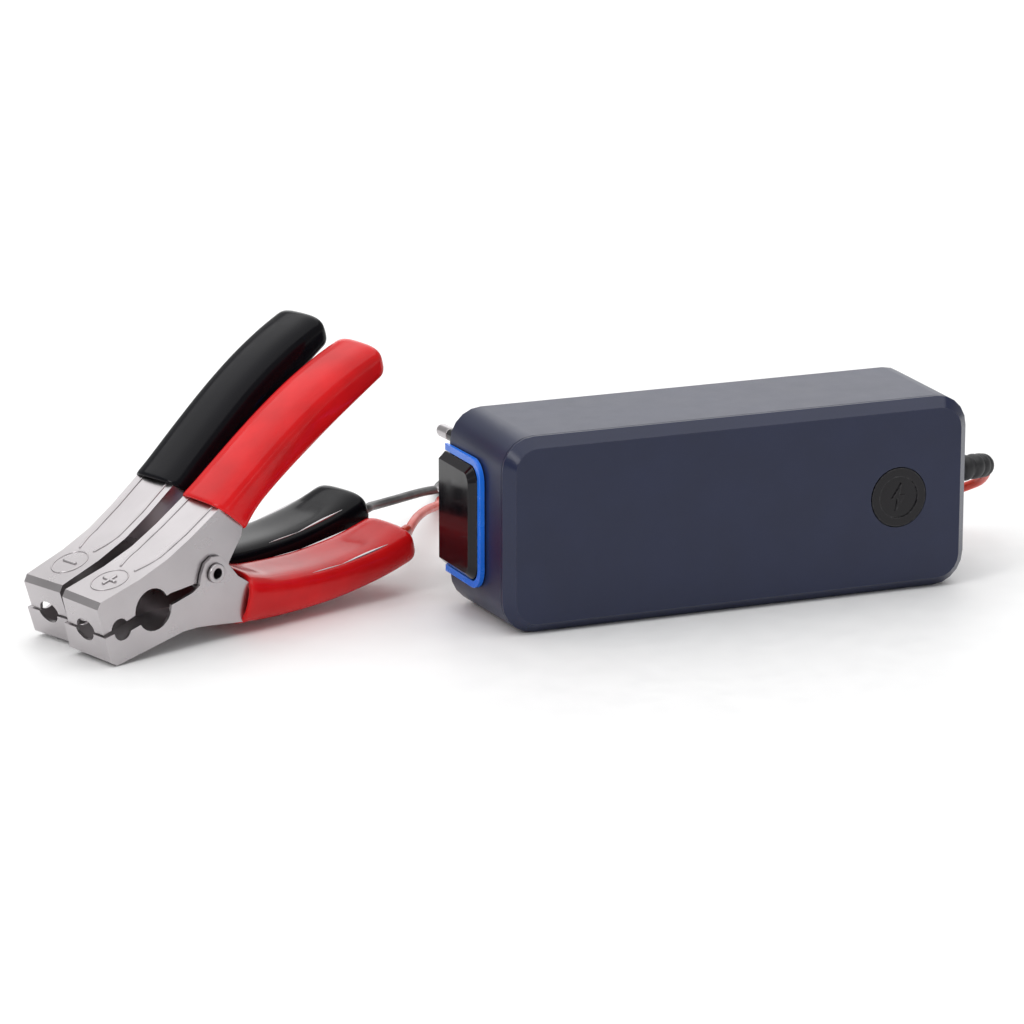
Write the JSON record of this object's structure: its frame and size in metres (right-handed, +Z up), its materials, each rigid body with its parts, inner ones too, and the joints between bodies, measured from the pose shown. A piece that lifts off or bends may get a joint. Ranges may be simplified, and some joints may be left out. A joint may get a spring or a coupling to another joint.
{
  "type": "car battery charger",
  "caption": "Slim plug-in car battery charger with an interchangeable mains plug adapter, a strain relief and two leads that end in red and black sprung battery clamps.",
  "frame": {"origin": "middle of the flat foot that the case rests on, on the floor", "axes": "+X along the case towards the strain relief, +Y away from the front panel, +Z up; the case stands on its long narrow side"},
  "size_m": [0.3027, 0.1688, 0.0784],
  "materials": {
    "case": "fine satin texture, glossy bevel",
    "gloss_black": "gloss",
    "trim_blue": "gloss",
    "nickel": "satin nickel plate",
    "alloy": "plain",
    "red_vinyl": "dipped gloss",
    "black_vinyl": "dipped gloss",
    "red_wire": "semi gloss",
    "black_wire": "semi gloss",
    "boot": "satin",
    "board": "solder mask",
    "component": "moulded",
    "ferrite": "matt",
    "copper": "enamelled wire",
    "capacitor": "shrink sleeve",
    "clear": "clear"
  },
  "bodies": {
    "charger": {"adapter_trim": "trim_blue", "case_back": "case", "case_front": "case", "case_screw_1": "alloy", "case_screw_2": "alloy", "case_screw_3": "alloy", "case_screw_4": "alloy", "circuit_board": "board", "coil_tie": "boot", "front_badge": "gloss_black", "heat_sink": "alloy", "inlet_pin_lower": "alloy", "inlet_pin_upper": "alloy", "inlet_socket": "component", "input_capacitor": "capacitor", "lead_black_case": "black_wire", "lead_black_clamp": "black_wire", "lead_black_coil": "black_wire", "lead_red_case": "red_wire", "lead_red_clamp": "red_wire", "lead_red_coil": "red_wire", "line_choke": "copper", "line_fuse": "clear", "negative_crimp": "alloy", "negative_lower_arm": "nickel", "negative_lower_grip": "black_vinyl", "negative_rivet": "nickel", "negative_spring": "alloy", "output_capacitor_a": "capacitor", "output_capacitor_b": "capacitor", "positive_crimp": "alloy", "positive_lower_arm": "nickel", "positive_lower_grip": "red_vinyl", "positive_rivet": "nickel", "positive_spring": "alloy", "power_transistor": "component", "status_led": "clear", "strain_relief": "boot", "transformer_core": "ferrite", "transformer_winding": "copper"},
    "mains_adapter": {"adapter_contact_lower": "alloy", "adapter_contact_upper": "alloy", "adapter_shell": "gloss_black", "mains_pin_lower": "nickel", "mains_pin_upper": "nickel", "mains_sleeve_lower": "gloss_black", "mains_sleeve_upper": "gloss_black"},
    "positive_jaw": {"positive_upper_arm": "nickel", "positive_upper_grip": "red_vinyl"},
    "negative_jaw": {"negative_upper_arm": "nickel", "negative_upper_grip": "black_vinyl"}
  },
  "joints": [
    {"name": "mains_adapter_slide", "type": "slide", "parent": "charger", "child": "mains_adapter", "axis": [-1, 0, 0], "range_m": [0, 0.014]},
    {"name": "positive_jaw_hinge", "type": "hinge", "parent": "charger", "child": "positive_jaw", "pos_m": [-0.1536, 0.01485, 0.02082], "axis": [-0.3497, 0.9354, 0.0523], "range_deg": [0, 28], "stiffness_Nm_per_rad": 1.2, "springref_deg": -20.05, "deforming": ["positive_spring"]},
    {"name": "negative_jaw_hinge", "type": "hinge", "parent": "charger", "child": "negative_jaw", "pos_m": [-0.158, 0.03845, 0.02215], "axis": [-0.3745, 0.927, 0.0175], "range_deg": [0, 28], "stiffness_Nm_per_rad": 1.2, "springref_deg": -20.05, "deforming": ["negative_spring"]}
  ]
}
